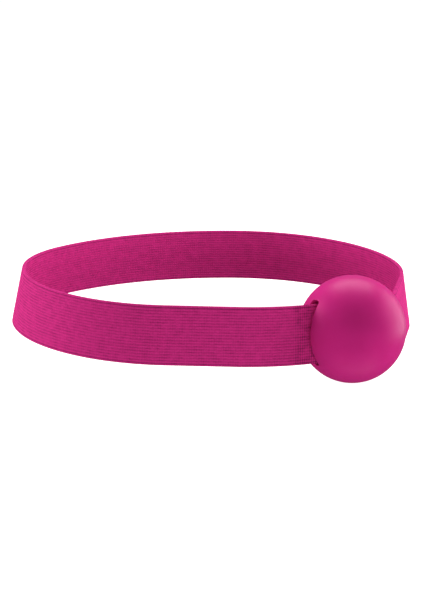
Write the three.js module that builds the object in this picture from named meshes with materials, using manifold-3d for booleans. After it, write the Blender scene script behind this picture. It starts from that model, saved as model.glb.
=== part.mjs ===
// An elastic head strap: one strip of woven elastic, sewn into a loop inside the slot of the soft
// silicone ball that is threaded on it. Millimetres, +Z up. The near side of the loop faces -Y.
import * as THREE from "three";
import { mergeVertices } from "three/addons/utils/BufferGeometryUtils.js";
import Module from "manifold-3d";

const rad = THREE.MathUtils.degToRad;

// The ball, and the straight slot through its middle.
const ballDiameter = 45.5;
const slotHeight = 27;
const slotRise = 0.4; // of the slot's middle above the strap's, which lies towards the slot's floor
const slotThickness = 5;
const slotCorner = 1.4;
const ballSegments = { around: 48, rings: 30 };
const slotBarOverrun = 2; // past the ball at each end of the bar that cuts the slot
const slotCornerSegments = 4;

// The strip of elastic. It leans outwards towards its lower edge: most at the two ends of the loop
// and least along its near and far sides.
const bandWidth = 25;
const bandThickness = 1.6;
const meanLean = 8;
const leanSwing = 2.4;

// The loop seen from above, starting at the ball's centre and going round anticlockwise. Bends are
// given by radius and turn in degrees; the side run and the front run are as long as closes the loop.
const slotHeading = 30;
const straightInBall = { before: 14, after: 16 }; // either side of the ball's centre
const exitBend = { radius: 16, turn: 48 };
const rearRightBend = { radius: 70, turn: 108 };
const rearBend = { radius: 122, turn: 48 };
const leftRearBend = { radius: 59, turn: 50 };
const leftFrontBend = { radius: 66, turn: 78 };
const entryBend = { radius: 80, turn: 28 };

// The sewn lap, hidden inside the ball: both ends of the strip pass its centre by half the lap.
const lapLength = 20;
const lapEase = 9; // run over which an end moves from the lap to the middle of the slot
const stitchRowPlaces = [-6, 6]; // along the strip, from the ball's centre
const stitchRowWidth = 2;
const stitchPitch = 3;
const pointsPerStitch = 8;
const stitchMargin = 3; // from the strip's edges
const threadDiameter = 0.4;
const threadSides = 6;
const threadClearance = 0.1; // between the thread and the face that it lies on

const gap = 0.3; // between pieces that touch
const stationStep = 3; // along the strip
const cutDepths = { front: 24, rear: 94 }; // Y, from the ball's centre, where the strip is divided

// ---- the loop's centre line ----

function bendChord({ radius, turn }, heading) {
  const a = rad(heading);
  const b = rad(heading + turn);
  return new THREE.Vector2(
    radius * (Math.sin(b) - Math.sin(a)),
    radius * (Math.cos(a) - Math.cos(b)),
  );
}

const along = (heading) =>
  new THREE.Vector2(Math.cos(rad(heading)), Math.sin(rad(heading)));

// The lengths of the two runs that close the loop, from two linear equations.
function closingRuns() {
  const sum = along(slotHeading).multiplyScalar(straightInBall.before + straightInBall.after);
  let heading = slotHeading;
  for (const bend of [exitBend, rearRightBend, rearBend, leftRearBend, leftFrontBend, entryBend]) {
    sum.add(bendChord(bend, heading));
    heading += bend.turn;
  }
  const side = along(slotHeading + exitBend.turn);
  const front = along(slotHeading - entryBend.turn);
  const area = side.cross(front);
  return {
    sideRun: { length: front.cross(sum) / area },
    frontRun: { length: -side.cross(sum) / area },
  };
}

const { sideRun, frontRun } = closingRuns();
const stretches = Object.entries({
  leavingBall: { length: straightInBall.after },
  exitBend,
  sideRun,
  rearRightBend,
  rearBend,
  leftRearBend,
  leftFrontBend,
  frontRun,
  entryBend,
  enteringBall: { length: straightInBall.before },
}).map(([name, part]) => ({
  name,
  ...part,
  length: part.length ?? part.radius * rad(part.turn),
}));
const loopLength = stretches.reduce((sum, part) => sum + part.length, 0);

// Where the centre line is at a distance s from the ball's centre, and its heading in degrees.
function centreLine(s) {
  let left = THREE.MathUtils.euclideanModulo(s, loopLength);
  let heading = slotHeading;
  const point = new THREE.Vector2();
  for (const part of stretches) {
    const run = Math.min(left, part.length);
    if (part.radius) {
      const turn = THREE.MathUtils.radToDeg(run / part.radius);
      point.add(bendChord({ radius: part.radius, turn }, heading));
      heading += turn;
    } else point.addScaledVector(along(heading), run);
    left -= run;
    if (left <= 0) break;
  }
  return { point, heading };
}

// A frame on the strip at s: x along it, y out through its outer face, z up across its width.
function bandFrame(s) {
  const { point, heading } = centreLine(s);
  const lean = rad(meanLean - leanSwing * Math.cos(2 * rad(heading)));
  const outward = new THREE.Vector3(Math.sin(rad(heading)), -Math.cos(rad(heading)), 0);
  const up = new THREE.Vector3(0, 0, 1);
  const face = outward.clone().multiplyScalar(Math.cos(lean)).addScaledVector(up, Math.sin(lean));
  const width = up.clone().multiplyScalar(Math.cos(lean)).addScaledVector(outward, -Math.sin(lean));
  return {
    centre: new THREE.Vector3(point.x, point.y, 0),
    forward: width.clone().cross(face).negate(),
    face,
    width,
  };
}

// The distance along the loop, between two others, where the centre line crosses a given Y.
function distanceAtY(y, from, to) {
  const halvings = 40;
  const rises = centreLine(to).point.y > centreLine(from).point.y;
  let [low, high] = [from, to];
  for (let i = 0; i < halvings; i++) {
    const middle = (low + high) / 2;
    if (centreLine(middle).point.y < y === rises) low = middle;
    else high = middle;
  }
  return low;
}

// ---- building blocks ----

// A closed solid from a row of sections, each a list of corners in the same order.
function loft(sections) {
  const corners = sections[0].length;
  const index = [];
  for (let i = 0; i + 1 < sections.length; i++)
    for (let k = 0; k < corners; k++) {
      const next = (k + 1) % corners;
      const [a, b] = [i * corners + k, i * corners + next];
      index.push(a, b + corners, b, a, a + corners, b + corners);
    }
  const last = (sections.length - 1) * corners;
  for (let k = 1; k + 1 < corners; k++) {
    index.push(0, k, k + 1);
    index.push(last, last + k + 1, last + k);
  }
  const geometry = new THREE.BufferGeometry().setFromPoints(sections.flat());
  geometry.setIndex(index);
  geometry.computeVertexNormals();
  return geometry;
}

// The strip of elastic from one distance to another; offset(s) moves it towards its outer face.
function strip(from, to, offset = () => 0) {
  const steps = Math.ceil((to - from) / stationStep);
  const sections = [];
  for (let i = 0; i <= steps; i++) {
    const s = from + ((to - from) * i) / steps;
    const { centre, face, width } = bandFrame(s);
    const middle = centre.addScaledVector(face, offset(s));
    const corner = (side, edge) =>
      middle
        .clone()
        .addScaledVector(face, (side * bandThickness) / 2)
        .addScaledVector(width, (edge * bandWidth) / 2);
    sections.push([corner(1, -1), corner(1, 1), corner(-1, 1), corner(-1, -1)]);
  }
  return loft(sections);
}

// A round thread along a list of points that lie on one face of the lap.
function thread(points, across) {
  const sections = points.map((point, i) => {
    const before = points[Math.max(i - 1, 0)];
    const after = points[Math.min(i + 1, points.length - 1)];
    const beside = across.clone().cross(after.clone().sub(before)).normalize();
    return Array.from({ length: threadSides }, (_, k) => {
      const a = (2 * Math.PI * k) / threadSides;
      return point
        .clone()
        .addScaledVector(across, (Math.cos(a) * threadDiameter) / 2)
        .addScaledVector(beside, (Math.sin(a) * threadDiameter) / 2);
    });
  });
  return loft(sections);
}

// ---- pieces ----

const silicone = new THREE.MeshStandardMaterial({ color: "#d8267f", roughness: 0.45, metalness: 0 });
const elastic = new THREE.MeshStandardMaterial({ color: "#b3246f", roughness: 0.85, metalness: 0 });
const sewing = new THREE.MeshStandardMaterial({ color: "#c22a7a", roughness: 0.6, metalness: 0 });

function mesh(name, geometry, material) {
  const made = new THREE.Mesh(geometry, material);
  made.name = name;
  return made;
}

const wasm = await Module();
wasm.setup();

function toSolid(geometry) {
  const bare = geometry.clone();
  bare.deleteAttribute("normal");
  bare.deleteAttribute("uv");
  const merged = mergeVertices(bare, 1e-4);
  return new wasm.Manifold(
    new wasm.Mesh({
      numProp: 3,
      vertProperties: merged.attributes.position.array,
      triVerts: new Uint32Array(merged.index.array),
    }),
  );
}

function toGeometry(solid) {
  const { vertProperties, triVerts } = solid.getMesh();
  const geometry = new THREE.BufferGeometry();
  geometry.setAttribute("position", new THREE.BufferAttribute(vertProperties, 3));
  geometry.setIndex(new THREE.BufferAttribute(triVerts, 1));
  geometry.computeVertexNormals();
  return geometry;
}

// A bar with rounded corners that fills the slot and stands out of the ball at both ends.
function slotBar() {
  const [w, h, r] = [slotThickness / 2, slotHeight / 2, slotCorner];
  const outline = new THREE.Shape();
  outline.moveTo(-w + r, -h);
  outline.lineTo(w - r, -h);
  outline.absarc(w - r, -h + r, r, -Math.PI / 2, 0);
  outline.lineTo(w, h - r);
  outline.absarc(w - r, h - r, r, 0, Math.PI / 2);
  outline.lineTo(-w + r, h);
  outline.absarc(-w + r, h - r, r, Math.PI / 2, Math.PI);
  outline.lineTo(-w, -h + r);
  outline.absarc(-w + r, -h + r, r, Math.PI, 1.5 * Math.PI);
  const depth = ballDiameter + 2 * slotBarOverrun;
  const bar = new THREE.ExtrudeGeometry(outline, {
    depth,
    bevelEnabled: false,
    curveSegments: slotCornerSegments,
  });
  bar.translate(0, slotRise, -depth / 2);
  const { forward, face, width } = bandFrame(0);
  bar.applyMatrix4(new THREE.Matrix4().makeBasis(face, width, forward));
  return bar;
}

function ball() {
  const sphere = new THREE.SphereGeometry(ballDiameter / 2, ballSegments.around, ballSegments.rings);
  sphere.rotateX(Math.PI / 2);
  return toGeometry(toSolid(sphere).subtract(toSolid(slotBar())));
}

// The middle of a strip's lap end lies half a thickness and half a gap off the slot's middle.
const lapOffset = (bandThickness + gap) / 2;
const easeOut = (distance) =>
  lapOffset * (1 - THREE.MathUtils.smoothstep(distance, lapLength / 2, lapLength / 2 + lapEase));

// The strip is divided where its two sides cross the two cut depths. The loop is at its deepest
// close to the start of the rear bend, and at its shallowest close to the start of the front run.
function divisions() {
  const startOf = (name) => {
    const before = stretches.slice(0, stretches.findIndex((part) => part.name === name));
    return before.reduce((sum, part) => sum + part.length, 0);
  };
  const deepest = startOf("rearBend");
  const shallowest = startOf("frontRun");
  return {
    rightFront: distanceAtY(cutDepths.front, 0, deepest),
    rightRear: distanceAtY(cutDepths.rear, 0, deepest),
    leftRear: distanceAtY(cutDepths.rear, deepest, shallowest),
    leftFront: distanceAtY(cutDepths.front, deepest, shallowest),
  };
}

// A zigzag thread with rounded turns, which runs up one row of stitches and down the other, on one
// face of the lap.
function stitching(side) {
  const { centre, forward, face, width } = bandFrame(0);
  const off = side * (lapOffset + bandThickness / 2 + threadDiameter / 2 + threadClearance);
  const reach = bandWidth / 2 - stitchMargin;
  const steps = Math.round((2 * reach) / stitchPitch) * pointsPerStitch;
  const points = [];
  stitchRowPlaces.forEach((place, row) => {
    const rise = row === 0 ? 1 : -1;
    for (let i = 0; i <= steps; i++) {
      const swing = (stitchRowWidth / 2) * Math.sin((2 * Math.PI * i) / pointsPerStitch);
      const height = rise * reach * ((2 * i) / steps - 1);
      points.push(
        centre
          .clone()
          .addScaledVector(face, off)
          .addScaledVector(forward, place + swing)
          .addScaledVector(width, height),
      );
    }
  });
  return thread(points, face);
}

const cuts = divisions();
const half = gap / 2;
const part = new THREE.Group();
part.add(
  mesh("ball", ball(), silicone),
  mesh("band_lap_tail", strip(-lapLength / 2, cuts.rightFront - half, (s) => -easeOut(s)), elastic),
  mesh("band_right_side", strip(cuts.rightFront + half, cuts.rightRear - half), elastic),
  mesh("band_rear", strip(cuts.rightRear + half, cuts.leftRear - half), elastic),
  mesh("band_left_side", strip(cuts.leftRear + half, cuts.leftFront - half), elastic),
  mesh(
    "band_front",
    strip(cuts.leftFront + half, loopLength + lapLength / 2, (s) => easeOut(loopLength - s)),
    elastic,
  ),
  mesh("needle_thread", stitching(1), sewing),
  mesh("bobbin_thread", stitching(-1), sewing),
);

// The part's origin is the middle of its own box.
part.updateMatrixWorld(true);
part.position.copy(new THREE.Box3().setFromObject(part, true).getCenter(new THREE.Vector3()).negate());

export default part;
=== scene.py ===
import math

import bpy
import numpy as np
from mathutils import Matrix, Vector


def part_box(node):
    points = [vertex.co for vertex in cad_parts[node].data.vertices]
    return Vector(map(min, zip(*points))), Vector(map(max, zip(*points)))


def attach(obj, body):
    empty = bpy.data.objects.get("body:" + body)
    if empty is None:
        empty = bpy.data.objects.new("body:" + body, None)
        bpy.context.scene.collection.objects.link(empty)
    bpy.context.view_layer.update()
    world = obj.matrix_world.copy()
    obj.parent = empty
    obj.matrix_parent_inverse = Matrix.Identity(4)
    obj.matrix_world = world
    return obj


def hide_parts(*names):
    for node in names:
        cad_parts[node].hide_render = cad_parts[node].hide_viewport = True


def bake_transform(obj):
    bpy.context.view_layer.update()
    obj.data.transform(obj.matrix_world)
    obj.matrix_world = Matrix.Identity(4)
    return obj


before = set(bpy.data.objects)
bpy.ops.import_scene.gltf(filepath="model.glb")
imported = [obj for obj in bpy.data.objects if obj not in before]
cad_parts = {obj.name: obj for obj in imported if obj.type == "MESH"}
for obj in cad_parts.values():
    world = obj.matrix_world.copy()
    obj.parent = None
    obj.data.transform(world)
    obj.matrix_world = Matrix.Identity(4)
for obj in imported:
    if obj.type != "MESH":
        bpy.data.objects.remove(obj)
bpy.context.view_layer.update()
bpy.ops.object.select_all(action="DESELECT")

# ---- Table and camera ----
# The strap lies on a plain white table, seen from a little above its near side with a long lens.
# The ball is what the view is set out from, because it is the piece that reaches the table.
ball_low, ball_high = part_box("ball")
ball_centre = (ball_low + ball_high) / 2
ball_radius = (ball_high.z - ball_low.z) / 2

loop_from_ball = Vector((-0.0594, 0.0396, 0))
aim = ball_centre + loop_from_ball
camera_distance = 0.6719
camera_elevation = math.radians(15)
camera_roll = math.radians(1.87)
back = Vector((0, -math.cos(camera_elevation), math.sin(camera_elevation)))
tilt = Matrix.Rotation(math.pi / 2 - camera_elevation, 4, "X") @ Matrix.Rotation(camera_roll, 4, "Z")
bpy.ops.object.camera_add(location=aim + back * camera_distance, rotation=tilt.to_euler())
camera = bpy.context.object
camera.data.lens = 90.4
camera.data.sensor_width = 36
bpy.context.scene.camera = camera
bpy.context.scene.view_settings.view_transform = "Standard"


def linear(colour):
    """An sRGB hex colour as the linear RGBA that a socket takes."""
    parts = [int(colour[i : i + 2], 16) / 255 for i in (1, 3, 5)]
    return [c / 12.92 if c <= 0.04045 else ((c + 0.055) / 1.055) ** 2.4 for c in parts] + [1]


def new_material(name):
    """An empty material: its node tree, and the shader that its finish is set on."""
    material = bpy.data.materials.new(name)
    material.use_nodes = True
    shader = material.node_tree.nodes["Principled BSDF"]
    return material, material.node_tree, shader


def add_node(tree, kind, inputs=None, **settings):
    """Adds a node. inputs maps a socket's name or number to a value, or to the socket it is fed from."""
    node = tree.nodes.new("ShaderNode" + kind)
    for name, value in settings.items():
        setattr(node, name, value)
    for key, value in (inputs or {}).items():
        if isinstance(value, bpy.types.NodeSocket):
            tree.links.new(value, node.inputs[key])
        else:
            node.inputs[key].default_value = value
    return node


# White laminate that glows as a light table does: its own light wipes out the shadows on it, and
# it throws no colour back at the piece.
table_size = 14
bpy.ops.mesh.primitive_plane_add(size=table_size, location=(0, 0, ball_low.z))
table = bpy.context.object
table.name = "table"
table.visible_diffuse = False
table.visible_glossy = False
table.visible_shadow = False
laminate, tree, shader = new_material("white_laminate")
shader.inputs["Base Color"].default_value = linear("#c8c8c8")
shader.inputs["Specular IOR Level"].default_value = 0
shader.inputs["Roughness"].default_value = 0.9
shader.inputs["Emission Color"].default_value = linear("#ffffff")
shader.inputs["Emission Strength"].default_value = 1.0
table.data.materials.append(laminate)

# The room beyond the table is as white as the table, but throws only a little light.
room_glow = 1.0
room_light = 0.04
world = bpy.data.worlds.new("studio")
bpy.context.scene.world = world
world.use_nodes = True
seen = add_node(world.node_tree, "LightPath")
room = add_node(
    world.node_tree,
    "MapRange",
    {"Value": seen.outputs["Is Camera Ray"], "To Min": room_light, "To Max": room_glow},
)
background = world.node_tree.nodes["Background"]
background.inputs["Color"].default_value = linear("#ffffff")
world.node_tree.links.new(room.outputs[0], background.inputs["Strength"])


def softbox(name, place, width, height, power):
    """A soft light at a place given from the middle of the strap, facing it."""
    bpy.ops.object.light_add(type="AREA", location=place)
    light = bpy.context.object
    light.name = name
    light.data.shape = "RECTANGLE"
    light.data.size = width
    light.data.size_y = height
    light.data.energy = power
    light.rotation_euler = Vector(place).to_track_quat("Z", "Y").to_euler()


# Soft light from above and behind and from both ends leaves the side towards the camera darkest,
# and one shines up through the table.
softbox("overhead_light", (0.05, 0.55, 0.95), 1.0, 0.7, 13)
softbox("right_light", (0.95, 0.05, 0.2), 0.7, 0.9, 7)
softbox("rear_right_light", (0.85, 0.55, 0.2), 0.5, 0.9, 3.5)
softbox("left_light", (-0.93, 0.15, 0.25), 0.7, 0.8, 9.5)
softbox("front_light", (0.0, -1.2, 0.07), 1.6, 0.3, 6)
softbox("table_light", (0.15, -0.45, -0.75), 1.2, 0.8, 5)

# ---- Ball ----
# One solid silicone moulding with a straight slot through its middle, tilted as the strap leans.
# The slot's mouths are soft-edged, and the surface is satin from a fine-blasted mould.
slot_heading = math.radians(30)
slot_height = 0.027
slot_rise = 0.0004
slot_thickness = 0.005
slot_corner = 0.0014
slot_bar_length = 2.4 * ball_radius
mean_lean = math.radians(8)
lean_swing = math.radians(2.4)
slot_lean = mean_lean - lean_swing * math.cos(2 * slot_heading)

outward = Vector((math.sin(slot_heading), -math.cos(slot_heading), 0))
up = Vector((0, 0, 1))
slot_face = outward * math.cos(slot_lean) + up * math.sin(slot_lean)
slot_width = up * math.cos(slot_lean) - outward * math.sin(slot_lean)
slot_forward = slot_face.cross(slot_width)
slot_axes = Matrix((slot_face, slot_width, slot_forward)).transposed()

bpy.ops.mesh.primitive_cube_add(size=1)
bar = bpy.context.object
bar.name = "slot_bar"
bar.scale = (slot_thickness, slot_height, slot_bar_length)
bpy.ops.object.transform_apply(location=False, rotation=False, scale=True)
bevel = bar.modifiers.new("corners", "BEVEL")
bevel.width = slot_corner
bevel.segments = 6
bevel.limit_method = "ANGLE"
bpy.ops.object.modifier_apply(modifier=bevel.name)
bar.data.transform(slot_axes.to_4x4())
slot_centre = ball_centre + slot_width * slot_rise
bar.data.transform(Matrix.Translation(slot_centre))

bpy.ops.object.select_all(action="DESELECT")
bpy.ops.mesh.primitive_uv_sphere_add(
    segments=160, ring_count=100, radius=ball_radius, location=ball_centre
)
bpy.ops.object.transform_apply(location=True, rotation=False, scale=False)
ball = bpy.context.object
ball.name = "silicone_ball"
cut = ball.modifiers.new("slot", "BOOLEAN")
cut.operation = "DIFFERENCE"
cut.solver = "EXACT"
cut.object = bar
bpy.ops.object.modifier_apply(modifier=cut.name)
bpy.data.objects.remove(bar)

# The moulding is remade as one even skin, whose slot mouths then soften and whose outside is
# brought back to a true sphere.
skin = ball.modifiers.new("skin", "REMESH")
skin.mode = "VOXEL"
skin.voxel_size = 0.00038
bpy.ops.object.modifier_apply(modifier=skin.name)
soften = ball.modifiers.new("soften", "SMOOTH")
soften.factor = 0.5
soften.iterations = 2
bpy.ops.object.modifier_apply(modifier=soften.name)

lip = 0.0004
for vertex in ball.data.vertices:
    place = vertex.co - ball_centre
    beside = max(abs(place.dot(slot_face)) - slot_thickness / 2, 0)
    above = max(abs(place.dot(slot_width) - slot_rise) - slot_height / 2, 0)
    clear = min(math.hypot(beside, above) / lip, 1)
    if place.length > ball_radius - lip:
        on_sphere = place.normalized() * ball_radius
        vertex.co = ball_centre + place.lerp(on_sphere, clear * clear * (3 - 2 * clear))
bpy.ops.object.shade_smooth()

# Pigmented silicone rubber from a fine-blasted mould: satin, with a soft skin that light enters a
# little way.
silicone, tree, shader = new_material("moulded_silicone")
coords = add_node(tree, "TexCoord")
cloud_scale = 140
cloud = add_node(
    tree, "TexNoise", {"Vector": coords.outputs["Object"], "Scale": cloud_scale, "Detail": 2}
)
pigment = add_node(
    tree,
    "Mix",
    {0: cloud.outputs[0], 6: linear("#cb277d"), 7: linear("#d32a84")},
    data_type="RGBA",
)
tree.links.new(pigment.outputs[2], shader.inputs["Base Color"])
shader.inputs["IOR"].default_value = 1.41
shader.inputs["Specular IOR Level"].default_value = 0.24
shader.inputs["Specular Tint"].default_value = linear("#ff3aa8")
satin = add_node(
    tree,
    "MapRange",
    {"Value": cloud.outputs[0], "From Min": 0.3, "From Max": 0.7, "To Min": 0.36, "To Max": 0.40},
)
tree.links.new(satin.outputs[0], shader.inputs["Roughness"])
shader.inputs["Subsurface Weight"].default_value = 0.15
shader.inputs["Subsurface Radius"].default_value = (1.0, 0.15, 0.4)
shader.inputs["Subsurface Scale"].default_value = 0.002
blast_grit = 0.00045
grain = add_node(
    tree, "TexNoise", {"Vector": coords.outputs["Object"], "Scale": 1 / blast_grit, "Detail": 2}
)
bump = add_node(tree, "Bump", {"Height": grain.outputs[0], "Strength": 0.06, "Distance": 0.0002})
tree.links.new(bump.outputs[0], shader.inputs["Normal"])
ball.data.materials.append(silicone)
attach(ball, "ball")
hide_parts("ball")

# ---- Strap ----
# One strip of 25 mm woven elastic: covered rubber strands run along it as ribs, and the weft holds
# them. It is bent round the loop on its edge, and its two ends pass each other inside the ball.
band_width = 0.025
band_thickness = 0.0016
straight_before_ball = 0.014
straight_after_ball = 0.016

# The bends in their order round the loop, each a radius and a turn in degrees, and None for a
# straight run between them.
bends = [
    (0.016, 48),
    None,
    (0.070, 108),
    (0.122, 48),
    (0.059, 50),
    (0.066, 78),
    None,
    (0.080, 28),
]
lap_length = 0.020
lap_ease = 0.009
lap_gap = 0.0003


def run_along(heading, length):
    """The step that a straight run makes in plan."""
    return np.array([math.cos(heading), math.sin(heading)]) * length


def bend_round(radius, heading, turn):
    """The step that a bend makes in plan, from the heading it starts with."""
    return radius * np.array(
        [math.sin(heading + turn) - math.sin(heading), math.cos(heading) - math.cos(heading + turn)]
    )


# The two straight runs are as long as closes the loop.
heading = slot_heading
walked = run_along(slot_heading, straight_before_ball + straight_after_ball)
free_headings = []
for bend in bends:
    if bend:
        turn = math.radians(bend[1])
        walked = walked + bend_round(bend[0], heading, turn)
        heading += turn
    else:
        free_headings.append(heading)
free_lengths = list(np.linalg.solve(np.array([run_along(h, 1) for h in free_headings]).T, -walked))

stretches = [(straight_after_ball, 0)]
for bend in bends:
    stretches.append((bend[0] * math.radians(bend[1]), 1 / bend[0]) if bend else (free_lengths.pop(0), 0))
stretches.append((straight_before_ball, 0))
loop_length = sum(length for length, _ in stretches)


def strap_frames(distances):
    """Centre, outer-face direction and width direction at distances from the ball's centre."""
    points, headings = [], []
    for distance in distances:
        left = distance % loop_length
        point, heading = np.array(ball_centre[:2]), slot_heading
        for length, curvature in stretches:
            run = min(left, length)
            if curvature:
                point = point + bend_round(1 / curvature, heading, run * curvature)
            else:
                point = point + run_along(heading, run)
            heading += run * curvature
            left -= run
            if left <= 0:
                break
        points.append([*point, ball_centre.z])
        headings.append(heading)
    headings = np.array(headings)[:, None]
    lean = mean_lean - lean_swing * np.cos(2 * headings)
    out = np.hstack([np.sin(headings), -np.cos(headings), 0 * headings])
    rise = np.array([[0, 0, 1]])
    face = out * np.cos(lean) + rise * np.sin(lean)
    width = rise * np.cos(lean) - out * np.sin(lean)
    return np.array(points), face, width


# The section across the strip: ribs on both faces, and a plain woven edge along each side.
rib_count = 19
rib_rise = 0.00019
edge_margin = 0.0010
points_per_rib = 4
rib_span = band_width - 2 * edge_margin
across = np.linspace(-rib_span / 2, rib_span / 2, rib_count * points_per_rib + 1)
ribs = np.abs(np.sin(math.pi * rib_count * (across / rib_span + 0.5)))
face_out = band_thickness / 2 - rib_rise * (1 - ribs)
edge_turn = np.linspace(0, math.pi, 11)[1:-1]
edge_round = 0.0004
upper_edge = np.stack(
    [
        band_thickness / 2 * np.cos(edge_turn),
        band_width / 2 - edge_round + edge_round * np.sin(edge_turn) ** 0.5,
    ],
    1,
)
lower_edge = -upper_edge
outer_face = np.stack([face_out, across], 1)
inner_face = np.stack([-face_out[::-1], across[::-1]], 1)
section = np.vstack([outer_face, upper_edge, inner_face, lower_edge])

station_step = 0.0014
strip_length = loop_length + lap_length
station_count = round(strip_length / station_step)
distances = np.linspace(-lap_length / 2, loop_length + lap_length / 2, station_count + 1)
centres, faces, widths = strap_frames(distances)
lap_shift = (band_thickness + lap_gap) / 2


def ease(distance):
    """How far the strip still lies to its own side of the lap: 1 within the lap, 0 clear of it."""
    share = np.clip((distance - lap_length / 2) / lap_ease, 0, 1)
    return 1 - share * share * (3 - 2 * share)


shift = lap_shift * (ease(loop_length - distances) - ease(distances))
vertices = (
    centres[:, None]
    + faces[:, None] * (section[None, :, 0:1] + shift[:, None, None])
    + widths[:, None] * section[None, :, 1:2]
)
per = len(section)
stations = len(distances)
corner = np.arange(per)
following = (corner + 1) % per
quads = np.concatenate(
    [
        np.stack([row + corner, row + following, row + per + following, row + per + corner], 1)
        for row in range(0, (stations - 1) * per, per)
    ]
)
ends = [list(range(per)), list(range(stations * per - 1, (stations - 1) * per - 1, -1))]
mesh = bpy.data.meshes.new("elastic_strap")
mesh.from_pydata(vertices.reshape(-1, 3).tolist(), [], quads[:, ::-1].tolist() + ends)
strap = bpy.data.objects.new("elastic_strap", mesh)
bpy.context.collection.objects.link(strap)

uv = mesh.uv_layers.new(name="strip")
loops = np.empty(len(mesh.loops), int)
mesh.loops.foreach_get("vertex_index", loops)
flat = np.stack([np.repeat(distances, per), np.tile(section[:, 1], stations)], 1)
uv.data.foreach_set("uv", flat[loops].ravel())
mesh.validate()

bpy.ops.object.select_all(action="DESELECT")
strap.select_set(True)
bpy.context.view_layer.objects.active = strap
bpy.ops.object.shade_smooth_by_angle(angle=math.radians(60))

# Dyed polyester yarn woven over rubber strands: matt, with a faint nap. The gaps between the ribs
# and between the picks of weft are darkened with painted shade. The weft is drawn a little coarser
# than it is woven, because finer picks would not show.
elastic, tree, shader = new_material("woven_elastic")
weft_pitch = 0.0010
weft_sway = 5.0
strip_map = add_node(tree, "UVMap", uv_map="strip")
place = add_node(tree, "SeparateXYZ", {0: strip_map.outputs[0]})
yarn_noise = add_node(
    tree, "TexNoise", {"Vector": strip_map.outputs[0], "Scale": 900, "Detail": 3, "Roughness": 0.6}
)
slub = add_node(tree, "TexNoise", {"Vector": strip_map.outputs[0], "Scale": 60, "Detail": 2})

rib_angle = add_node(
    tree,
    "Math",
    {0: place.outputs[1], 1: math.pi * rib_count / rib_span, 2: math.pi * rib_count / 2},
    operation="MULTIPLY_ADD",
)
rib_wave = add_node(tree, "Math", {0: rib_angle.outputs[0]}, operation="SINE")
rib_crest = add_node(tree, "Math", {0: rib_wave.outputs[0]}, operation="ABSOLUTE")

weft_wander = add_node(tree, "Math", {0: slub.outputs[0], 1: weft_sway}, operation="MULTIPLY")
weft_angle = add_node(
    tree,
    "Math",
    {0: place.outputs[0], 1: 2 * math.pi / weft_pitch, 2: weft_wander.outputs[0]},
    operation="MULTIPLY_ADD",
)
weft_wave = add_node(tree, "Math", {0: weft_angle.outputs[0]}, operation="SINE")
weft_crest = add_node(
    tree, "MapRange", {"Value": weft_wave.outputs[0], "From Min": -1, "From Max": 1}
)

# Where the strap turns sharply into the ball, its picks stand apart: more painted shade in the gaps.
picks_part = loop_length - 0.030
picks_apart = loop_length - 0.026
mouth = add_node(
    tree,
    "MapRange",
    {
        "Value": place.outputs[0],
        "From Min": picks_part,
        "From Max": picks_apart,
        "To Min": 0.1,
        "To Max": 0.5,
    },
    interpolation_type="SMOOTHSTEP",
)
weft_gap = add_node(tree, "Math", {0: 1.0, 1: weft_crest.outputs[0]}, operation="SUBTRACT")
weft_painted_shade = add_node(
    tree, "Math", {0: weft_gap.outputs[0], 1: mouth.outputs[0]}, operation="MULTIPLY"
)
# How dark the painted shade between the ribs is.
rib_gap_shade_strength = 0.36
rib_gap = add_node(tree, "Math", {0: 1.0, 1: rib_crest.outputs[0]}, operation="SUBTRACT")
rib_painted_shade = add_node(tree, "Math", {0: rib_gap.outputs[0], 1: rib_gap_shade_strength}, operation="MULTIPLY")
both_painted_shades = add_node(
    tree, "Math", {0: rib_painted_shade.outputs[0], 1: weft_painted_shade.outputs[0]}, operation="ADD"
)

# The yarn lies closer in some places than in others, so the painted shade in the gaps comes and goes.
closeness = add_node(
    tree, "TexNoise", {"Vector": strip_map.outputs[0], "Scale": 260, "Detail": 2, "Roughness": 0.6}
)
openness = add_node(
    tree,
    "MapRange",
    {"Value": closeness.outputs[0], "From Min": 0.35, "From Max": 0.65, "To Min": 0.4, "To Max": 1.3},
)
gap_painted_shade = add_node(
    tree, "Math", {0: both_painted_shades.outputs[0], 1: openness.outputs[0]}, operation="MULTIPLY"
)

# A narrow furrow parts the woven edge from the first rib. Painted shade darkens the edge a little
# and the furrow more.
edge_strip = 0.0004
furrow_inset = 0.0009
furrow_half = 0.0003
from_middle = add_node(tree, "Math", {0: place.outputs[1]}, operation="ABSOLUTE")
edge_painted_shade = add_node(
    tree,
    "MapRange",
    {
        "Value": from_middle.outputs[0],
        "From Min": band_width / 2 - edge_strip,
        "From Max": band_width / 2 - edge_strip / 2,
        "To Min": 0,
        "To Max": 0.15,
    },
)
from_furrow = add_node(
    tree,
    "Math",
    {0: from_middle.outputs[0], 1: band_width / 2 - furrow_inset},
    operation="SUBTRACT",
)
off_furrow = add_node(tree, "Math", {0: from_furrow.outputs[0]}, operation="ABSOLUTE")
furrow_painted_shade = add_node(
    tree,
    "MapRange",
    {
        "Value": off_furrow.outputs[0],
        "From Min": 0,
        "From Max": furrow_half,
        "To Min": 0.4,
        "To Max": 0,
    },
)
side_painted_shades = add_node(
    tree, "Math", {0: edge_painted_shade.outputs[0], 1: furrow_painted_shade.outputs[0]}, operation="ADD"
)
gaps = add_node(
    tree, "Math", {0: gap_painted_shade.outputs[0], 1: side_painted_shades.outputs[0]}, operation="ADD", use_clamp=True
)
yarn = add_node(
    tree,
    "Mix",
    {0: yarn_noise.outputs[0], 6: linear("#d4267d"), 7: linear("#ef3c99")},
    data_type="RGBA",
)
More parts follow.
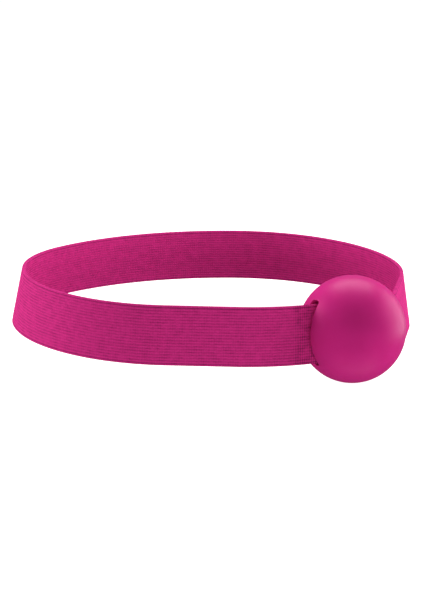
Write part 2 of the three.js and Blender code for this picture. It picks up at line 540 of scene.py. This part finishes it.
# The dark mix colour is painted shade, laid over the yarn's own colour in the gaps, edge and furrow.
yarn_with_painted_shade = add_node(
    tree,
    "Mix",
    {0: gaps.outputs[0], 6: yarn.outputs[2], 7: linear("#6e1046")},
    data_type="RGBA",
)
tree.links.new(yarn_with_painted_shade.outputs[2], shader.inputs["Base Color"])
shader.inputs["Roughness"].default_value = 0.85
shader.inputs["Specular IOR Level"].default_value = 0.05
shader.inputs["Sheen Weight"].default_value = 0.08
shader.inputs["Sheen Roughness"].default_value = 0.4
shader.inputs["Sheen Tint"].default_value = linear("#e85aa4")
knuckle = add_node(
    tree, "Math", {0: weft_crest.outputs[0], 1: rib_crest.outputs[0]}, operation="MULTIPLY"
)
fibre = add_node(
    tree, "Math", {0: yarn_noise.outputs[0], 1: 0.5, 2: knuckle.outputs[0]}, operation="MULTIPLY_ADD"
)
bump = add_node(tree, "Bump", {"Height": fibre.outputs[0], "Strength": 0.7, "Distance": 0.0001})
tree.links.new(bump.outputs[0], shader.inputs["Normal"])
strap.data.materials.append(elastic)
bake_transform(strap)
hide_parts("band_front", "band_left_side", "band_rear", "band_right_side", "band_lap_tail")

# ---- Lap stitching ----
# Two rows of lockstitched zigzag hold the lap inside the ball. The needle thread lies on the lap's
# outer face and the bobbin thread on its inner one, and both sink into the elastic at each turn.
thread_diameter = 0.00036
stitch_rows = [-0.006, 0.006]
stitch_row_width = 0.002
stitch_pitch = 0.003
stitch_margin = 0.003
stitch_reach = band_width / 2 - stitch_margin
points_per_stitch = 20
thread_sink = 0.00022


def stitch_path(side):
    """Points of one thread, up the first row and down the second, on one face of the lap."""
    centre, face, width = (rows[0] for rows in strap_frames([0]))
    forward = np.array([*run_along(slot_heading, 1), 0])
    face_height = lap_shift + band_thickness / 2 + thread_diameter / 2
    turns = round(2 * stitch_reach / stitch_pitch)
    phase = np.linspace(0, 2 * math.pi * turns, turns * points_per_stitch + 1)
    swing = stitch_row_width / 2 * np.sin(phase)
    sink = thread_sink * np.sin(phase) ** 8
    rise = stitch_reach * np.linspace(-1, 1, len(phase))
    rows = []
    for row, direction in zip(stitch_rows, (1, -1)):
        rows.append(
            centre
            + np.outer(side * (face_height - sink), face)
            + np.outer(row + swing, forward)
            + np.outer(direction * rise, width)
        )
    return np.vstack(rows)


# Spun polyester in the strap's colour, of two plies twisted together, with painted shade between them.
sewing, tree, shader = new_material("sewing_thread")
coords = add_node(tree, "TexCoord")
twist = add_node(
    tree,
    "TexWave",
    {"Vector": coords.outputs["Object"], "Scale": 900, "Distortion": 1.5, "Detail": 1},
    bands_direction="DIAGONAL",
)
ply_and_painted_shade = add_node(
    tree,
    "Mix",
    {0: twist.outputs["Fac"], 6: linear("#8f1457"), 7: linear("#d6428f")},
    data_type="RGBA",
)
tree.links.new(ply_and_painted_shade.outputs[2], shader.inputs["Base Color"])
shader.inputs["Roughness"].default_value = 0.6
shader.inputs["Sheen Weight"].default_value = 0.3
bump = add_node(tree, "Bump", {"Height": twist.outputs["Fac"], "Strength": 0.5, "Distance": 0.00005})
tree.links.new(bump.outputs[0], shader.inputs["Normal"])

for name, side in (("needle_thread", 1), ("bobbin_thread", -1)):
    path = stitch_path(side)
    line = bpy.data.curves.new("sewn_" + name, "CURVE")
    line.dimensions = "3D"
    line.bevel_depth = thread_diameter / 2
    line.bevel_resolution = 2
    line.use_fill_caps = True
    spline = line.splines.new("POLY")
    spline.points.add(len(path) - 1)
    spline.points.foreach_set("co", np.hstack([path, np.ones((len(path), 1))]).ravel())
    piece = bpy.data.objects.new("sewn_" + name, line)
    bpy.context.collection.objects.link(piece)
    bpy.ops.object.select_all(action="DESELECT")
    piece.select_set(True)
    bpy.context.view_layer.objects.active = piece
    bpy.ops.object.convert(target="MESH")
    bpy.ops.object.shade_smooth()
    piece = bpy.context.object
    piece.data.materials.append(sewing)
    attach(piece, "strap_front")
    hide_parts(name)
